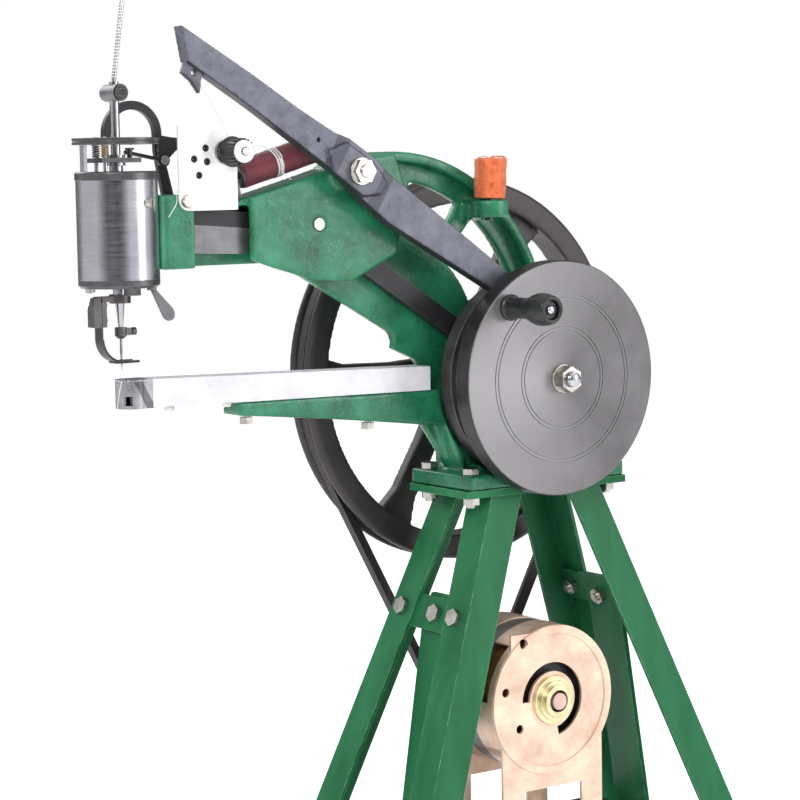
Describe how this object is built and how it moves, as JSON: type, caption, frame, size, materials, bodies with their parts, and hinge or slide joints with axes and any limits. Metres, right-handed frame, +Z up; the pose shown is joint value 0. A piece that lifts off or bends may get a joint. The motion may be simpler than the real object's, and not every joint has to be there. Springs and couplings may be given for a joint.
{
  "type": "leather sewing machine",
  "caption": "Arm-type hand and motor driven leather patching machine: turning needle head, crank disc, spoked flywheel, belt motor and splayed angle-iron stand.",
  "frame": {"origin": "on the floor, at the centre of the four foot bolt holes", "axes": "+X from the sewing head towards the crank, -Y towards the crank side, +Z up"},
  "size_m": [0.6736, 0.244, 0.9485],
  "materials": {
    "green_enamel": "semi-gloss enamel over cast and rolled iron",
    "machined_iron": "turned grey iron, lightly oiled",
    "lever_iron": "rough ground grey iron",
    "dark_iron": "dark brown-grey cast iron, oiled",
    "brushed_steel": "turned and brushed steel",
    "dark_steel": "dull grey steel",
    "polished_steel": "polished steel",
    "zinc_steel": "zinc plated",
    "black_steel": "black oxide",
    "arm_paint": "pale grey, hand painted",
    "nickel_plate": "nickel plated sheet",
    "bronze": "plain bronze",
    "black_plastic": "moulded phenolic",
    "wine_thread": "waxed thread, wound",
    "copper_thread": "bright bonded thread, wound",
    "copper_shell": "passivated pressed steel with a copper tone",
    "motor_iron": "laminated steel with copper coils",
    "belt_rubber": "fabric-faced rubber"
  },
  "bodies": {
    "machine_frame": {"main_casting": "green_enamel", "stand_top": "green_enamel", "leg_front_left": "green_enamel", "leg_rear_left": "green_enamel", "leg_front_right": "green_enamel", "leg_rear_right": "green_enamel", "crossbar_left": "green_enamel", "crossbar_right": "green_enamel", "shelf_hangers": "green_enamel", "motor_shelf": "black_steel", "stand_bolts": "zinc_steel", "lower_arm": "arm_paint", "arm_tip": "dark_steel", "needle_plate": "polished_steel", "small_screws": "zinc_steel", "shaft_bushes": "bronze", "lever_pins": "zinc_steel", "head_barrel": "brushed_steel", "barrel_top_ring": "dark_steel", "top_plate": "dark_steel", "guide_posts": "polished_steel", "bridge_strap": "black_steel", "presser_springs": "black_steel", "tension_plate": "nickel_plate", "tension_stem": "polished_steel", "spool_spindles": "brushed_steel", "motor_front_shell": "copper_shell", "motor_rear_shell": "copper_shell", "motor_core": "motor_iron", "drive_belt": "belt_rubber"},
    "take_up": {"take_up_lever": "lever_iron", "take_up_roller": "polished_steel"},
    "needle_drive": {"needle_lever": "black_steel", "needle_lever_roller": "polished_steel"},
    "rotor": {"main_shaft": "brushed_steel", "crank_disc": "machined_iron", "cam_drum": "dark_iron", "flywheel": "dark_iron", "shaft_nuts": "zinc_steel", "grip_spindle": "brushed_steel"},
    "grip": {"crank_grip": "black_plastic"},
    "lift": {"lift_arm": "dark_steel"},
    "lifter": {"presser_lifter": "black_steel"},
    "head": {"turret": "dark_steel", "turning_wings": "nickel_plate"},
    "presser": {"presser_tube": "brushed_steel", "foot_clamp": "black_steel", "presser_foot": "black_steel"},
    "needle_group": {"needle_bar": "polished_steel", "cross_block": "dark_steel", "thread_tube": "polished_steel", "needle_clamp": "dark_steel", "needle": "polished_steel"},
    "knob": {"tension_knob": "black_plastic"},
    "wound_spool": {"thread_spool": "wine_thread"},
    "bobbin_stand": {"spare_bobbin": "copper_thread"},
    "shuttle_body": {"shuttle": "polished_steel"},
    "rack": {"rack_bar": "dark_steel"},
    "motor_spindle": {"motor_rotor": "brushed_steel", "motor_pulley": "machined_iron"}
  },
  "joints": [
    {"name": "main_spin", "type": "hinge", "parent": "machine_frame", "child": "rotor", "pos_m": [0, 0, 0.62], "axis": [0, 1, 0], "continuous": true},
    {"name": "grip_spin", "type": "hinge", "parent": "rotor", "child": "grip", "pos_m": [-0.05592, -0.06, 0.67997], "axis": [0, 1, 0], "continuous": true},
    {"name": "motor_spin", "type": "hinge", "parent": "machine_frame", "child": "motor_spindle", "pos_m": [0, 0, 0.354], "axis": [0, 1, 0], "continuous": true},
    {"name": "take_up_rock", "type": "hinge", "parent": "machine_frame", "child": "take_up", "pos_m": [-0.178, -0.03, 0.789], "axis": [0, 1, 0], "range_deg": [-2.6, 4.6]},
    {"name": "needle_rock", "type": "hinge", "parent": "machine_frame", "child": "needle_drive", "pos_m": [-0.2005, 0, 0.749], "axis": [0, 1, 0], "range_deg": [-8.88, 0]},
    {"name": "head_turn", "type": "hinge", "parent": "machine_frame", "child": "head", "pos_m": [-0.368, 0, 0.713], "axis": [0, 0, 1], "continuous": true},
    {"name": "needle_slide", "type": "slide", "parent": "head", "child": "needle_group", "axis": [0, 0, 1], "range_m": [-0.0261, 0.0001]},
    {"name": "lifter_rock", "type": "hinge", "parent": "machine_frame", "child": "lifter", "pos_m": [-0.323, 0.012, 0.7997], "axis": [0, 1, 0], "range_deg": [-22.26, 0]},
    {"name": "lift_slide", "type": "slide", "parent": "machine_frame", "child": "lift", "axis": [0, 0, 1], "range_m": [-0.0121, 0.0001], "deforming": ["presser_springs"]},
    {"name": "presser_slide", "type": "slide", "parent": "head", "child": "presser", "axis": [0, 0, 1], "range_m": [-0.0121, 0.0001]},
    {"name": "tension_turn", "type": "hinge", "parent": "machine_frame", "child": "knob", "pos_m": [-0.286, -0.03, 0.805], "axis": [0, 1, 0], "range_deg": [-360, 360]},
    {"name": "spool_spin", "type": "hinge", "parent": "machine_frame", "child": "wound_spool", "pos_m": [-0.264, 0.002, 0.787], "axis": [0.9613, 0, 0.2756], "continuous": true},
    {"name": "bobbin_spin", "type": "hinge", "parent": "machine_frame", "child": "bobbin_stand", "pos_m": [-0.041, -0.02, 0.764], "axis": [0.0523, 0, 0.9986], "continuous": true},
    {"name": "shuttle_turn", "type": "hinge", "parent": "machine_frame", "child": "shuttle_body", "pos_m": [-0.3605, 0, 0.62], "axis": [0, 0, 1], "range_deg": [-114, 114]},
    {"name": "rack_slide", "type": "slide", "parent": "machine_frame", "child": "rack", "axis": [1, 0, 0], "range_m": [-0.006, 0.006]}
  ],
  "couplings": [
    {"joint": "motor_spin", "follows": "main_spin", "ratio": 5.0323},
    {"joint": "needle_slide", "follows": "needle_rock", "m_per_rad": 0.16783},
    {"joint": "lift_slide", "follows": "lifter_rock", "m_per_rad": 0.030889},
    {"joint": "presser_slide", "follows": "lifter_rock", "m_per_rad": 0.030889}
  ]
}
